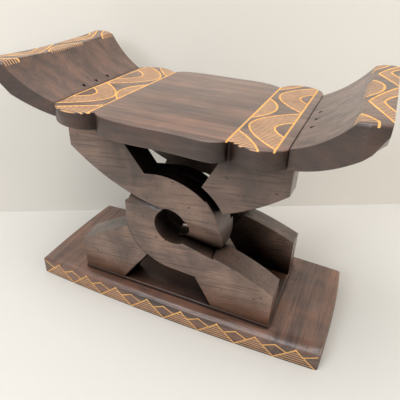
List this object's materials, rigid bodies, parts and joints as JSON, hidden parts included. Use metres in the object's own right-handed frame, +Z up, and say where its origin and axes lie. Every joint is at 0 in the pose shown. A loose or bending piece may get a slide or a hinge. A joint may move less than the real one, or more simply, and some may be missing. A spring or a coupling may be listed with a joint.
{
  "type": "carved wooden stool",
  "caption": "Low wooden stool with a curved saddle seat whose ends turn up, carried by two interlaced knots, one behind the other, on a flat rectangular base.",
  "frame": {"origin": "middle of the base's underside, on the floor", "axes": "+X along the seat towards the right-hand wing, +Z up, front at -Y"},
  "size_m": [0.568, 0.3059, 0.4319],
  "materials": {
    "stained_wood": "dark brown stain under a satin wax, pale where the patterns are cut",
    "peg_wood": "bare wood"
  },
  "bodies": {
    "root": {"base_slab": "stained_wood", "foot_board": "stained_wood", "front_loop_left": "stained_wood", "front_loop_right": "stained_wood", "back_loop_right": "stained_wood", "back_loop_left": "stained_wood", "seat_slab": "stained_wood", "left_wing": "stained_wood", "right_wing": "stained_wood", "foot_pegs": "peg_wood", "seat_pegs": "peg_wood", "wing_pegs": "peg_wood"}
  },
  "joints": []
}
